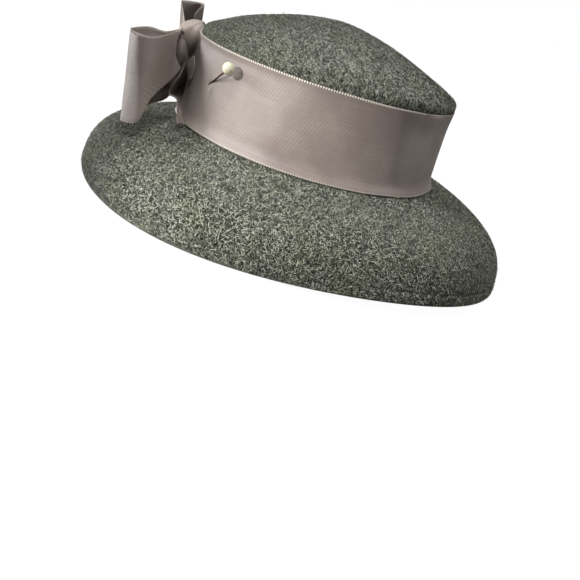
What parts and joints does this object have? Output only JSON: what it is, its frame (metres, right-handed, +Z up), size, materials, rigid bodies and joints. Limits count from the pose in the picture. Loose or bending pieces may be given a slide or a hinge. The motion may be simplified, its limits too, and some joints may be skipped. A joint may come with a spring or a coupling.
{
  "type": "wide-brimmed felt hat",
  "caption": "Wool felt hat with a low domed crown, a wide down-curved brim, a broad ribbon band with a bow at the back and a pearl-headed pin.",
  "frame": {"origin": "on the surface that the hat stands on, under the middle of the hat's bounding box", "axes": "+Z up, +Y towards the back of the hat where the bow is, -Y towards the wearer's front, +X towards the wearer's left; the pin is on the -X side"},
  "size_m": [0.2926, 0.344, 0.1469],
  "materials": {
    "felt": "grey melange wool felt with a brushed nap",
    "ribbon": "taupe grosgrain ribbon",
    "pearl": "cream imitation pearl",
    "pin": "dark steel wire"
  },
  "bodies": {
    "root": {"crown": "felt", "brim": "felt", "band": "ribbon", "bow_knot": "ribbon", "bow_loop_right": "ribbon", "bow_loop_left": "ribbon", "bow_tail": "ribbon", "pin_pearl": "pearl", "pin_shank": "pin"}
  },
  "joints": []
}
